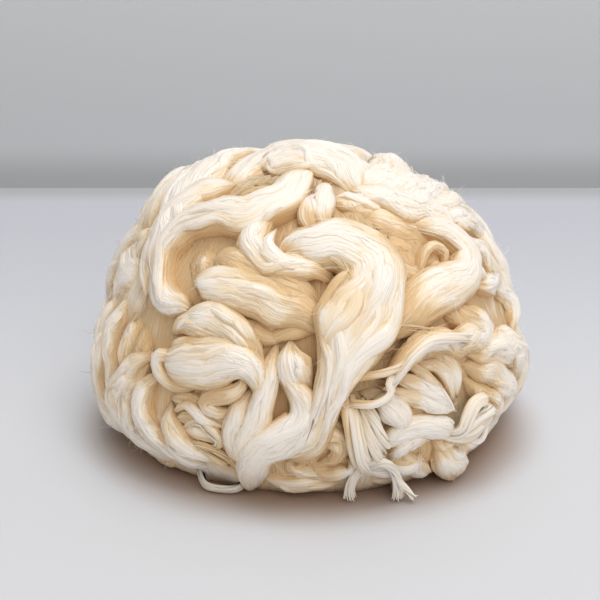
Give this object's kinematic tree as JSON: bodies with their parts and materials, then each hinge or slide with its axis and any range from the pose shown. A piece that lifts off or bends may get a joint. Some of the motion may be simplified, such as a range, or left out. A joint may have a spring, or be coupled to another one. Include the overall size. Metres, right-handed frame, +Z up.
{
  "type": "bamboo spinning fiber",
  "caption": "Loose heap of combed bamboo spinning fiber, wound and folded into a low dome with one loose end, for spinning, felting or display.",
  "frame": {"origin": "on the table, under the middle of the heap", "axes": "+Z up; the front seen in the picture faces -Y; +X to the right of that view"},
  "size_m": [0.179, 0.1822, 0.1193],
  "materials": {
    "fibre": "soft silky combed fibre, ivory, undyed",
    "strand": "lightly twisted silky fibre, ivory, undyed"
  },
  "bodies": {
    "root": {"heap": "fibre", "loose_end": "strand"}
  },
  "joints": []
}
